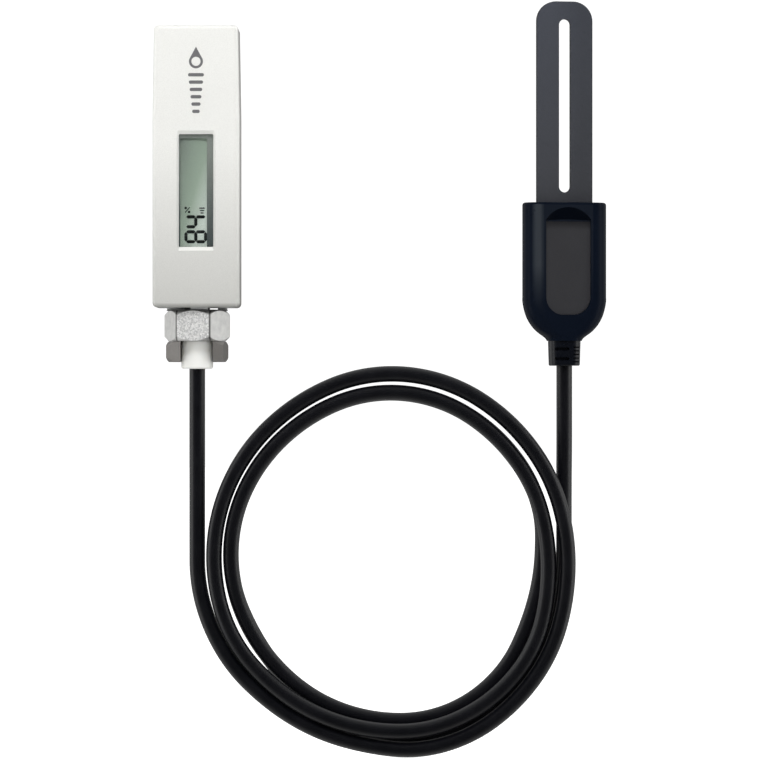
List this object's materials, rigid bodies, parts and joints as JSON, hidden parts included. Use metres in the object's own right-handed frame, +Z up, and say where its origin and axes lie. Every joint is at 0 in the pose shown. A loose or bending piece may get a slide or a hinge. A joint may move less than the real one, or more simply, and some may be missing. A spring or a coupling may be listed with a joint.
{
  "type": "soil moisture sensor",
  "caption": "Wireless soil moisture transmitter with a window display, a coiled cable from a threaded gland, and a flat slotted soil probe with a moulded head.",
  "frame": {"origin": "on the gland axis, level with the underside of the transmitter housing", "axes": "+Z up along the housing and towards the probe tip, display facing -Y, coil and probe to the +X side"},
  "size_m": [0.1493, 0.026, 0.2494],
  "materials": {
    "housing": "satin",
    "lens": "clear",
    "print_grey": "matte",
    "contact_metal": "satin",
    "base_plastic": "satin",
    "seal_rubber": "matte",
    "carrier_plastic": "matte",
    "screw_steel": "satin",
    "board_green": "satin",
    "chip_tan": "matte",
    "chip_black": "matte",
    "shield_metal": "satin",
    "aerial_wire": "bright",
    "led_lens": "gloss",
    "button_cap": "satin",
    "lcd_frame_dark": "matte",
    "lcd_glass": "clear",
    "lcd_ink": "matte",
    "lcd_reflector_grey": "satin",
    "zebra_rubber": "matte",
    "cell_steel": "bright",
    "cell_jacket": "gloss",
    "spring_steel": "bright",
    "stem_plastic": "satin",
    "washer_dark": "matte",
    "nut_metal": "satin",
    "lock_nut_grey": "satin",
    "sleeve_white": "satin",
    "cable_black": "satin",
    "wire_red": "gloss",
    "plug_cream": "satin",
    "probe_black": "satin",
    "inlay_grey": "satin",
    "resin_dark": "gloss",
    "laminate": "satin",
    "copper_foil": "satin",
    "blade_coating": "satin"
  },
  "bodies": {
    "base": {"base_plug": "base_plastic", "plug_seal": "seal_rubber", "carrier": "carrier_plastic", "carrier_screws": "screw_steel", "main_board": "board_green", "board_passives": "chip_tan", "mcu_chip": "chip_black", "radio_module": "shield_metal", "crystal_can": "shield_metal", "antenna": "aerial_wire", "status_led": "led_lens", "button_body": "chip_black", "lcd_frame": "lcd_frame_dark", "lcd_front_glass": "lcd_glass", "lcd_segments": "lcd_ink", "lcd_back_glass": "lcd_glass", "lcd_reflector": "lcd_reflector_grey", "zebra_strip": "zebra_rubber", "negative_contact": "spring_steel", "battery_spring": "spring_steel", "threaded_stem": "stem_plastic", "stem_seal": "seal_rubber", "cable_sleeve": "sleeve_white", "cable_grommet": "seal_rubber", "gland_cable": "cable_black", "gland_cores": "wire_red", "wire_plug": "plug_cream", "wire_header": "plug_cream"},
    "shell": {"outer_shell": "housing", "window_lens": "lens", "front_print": "print_grey", "roof_contact": "contact_metal"},
    "battery": {"battery_can": "cell_steel", "battery_jacket": "cell_jacket", "battery_insulator": "chip_tan", "battery_positive_cap": "cell_steel"},
    "button": {"pairing_button": "button_cap"},
    "washer": {"flat_washer": "washer_dark"},
    "nuts": {"hex_nut": "nut_metal", "lock_nut": "lock_nut_grey"},
    "cable": {"coil_cable": "cable_black", "coil_cores": "wire_red"},
    "probe": {"tail_cable": "cable_black", "tail_cores": "wire_red", "probe_head": "probe_black", "label_inlay": "inlay_grey", "potting": "resin_dark", "strain_relief": "cable_black", "blade_core": "laminate", "electrode_front": "copper_foil", "electrode_back": "copper_foil", "blade_mask_front": "blade_coating", "blade_mask_back": "blade_coating", "probe_chip": "chip_black", "probe_passives": "chip_tan"}
  },
  "joints": [
    {"name": "shell_lift", "type": "slide", "parent": "base", "child": "shell", "axis": [0, 0, 1], "range_m": [0, 0.15]},
    {"name": "battery_lift", "type": "slide", "parent": "base", "child": "battery", "axis": [0, 0, 1], "range_m": [0, 0.0502]},
    {"name": "washer_drop", "type": "slide", "parent": "base", "child": "washer", "axis": [0, 0, -1], "range_m": [0, 0.00601]},
    {"name": "nut_turn", "type": "hinge", "parent": "washer", "child": "nuts", "pos_m": [0, 0, -0.006], "axis": [0, 0, -1], "range_deg": [0, 2160]},
    {"name": "button_press", "type": "slide", "parent": "base", "child": "button", "axis": [0, 1, 0], "range_m": [0, 0.00025]},
    {"name": "cable_swing", "type": "hinge", "parent": "base", "child": "cable", "pos_m": [0, 0, -0.034], "axis": [1, 0, 0], "range_deg": [-45, 45], "stiffness_Nm_per_rad": 0.02},
    {"name": "probe_swing", "type": "hinge", "parent": "cable", "child": "probe", "pos_m": [0.1211, 0, -0.032], "axis": [0, 1, 0], "range_deg": [-30, 30], "stiffness_Nm_per_rad": 0.06}
  ],
  "couplings": [
    {"joint": "battery_lift", "follows": "shell_lift", "ratio": 0.334},
    {"joint": "washer_drop", "follows": "nut_turn", "m_per_rad": 0.00015915}
  ]
}
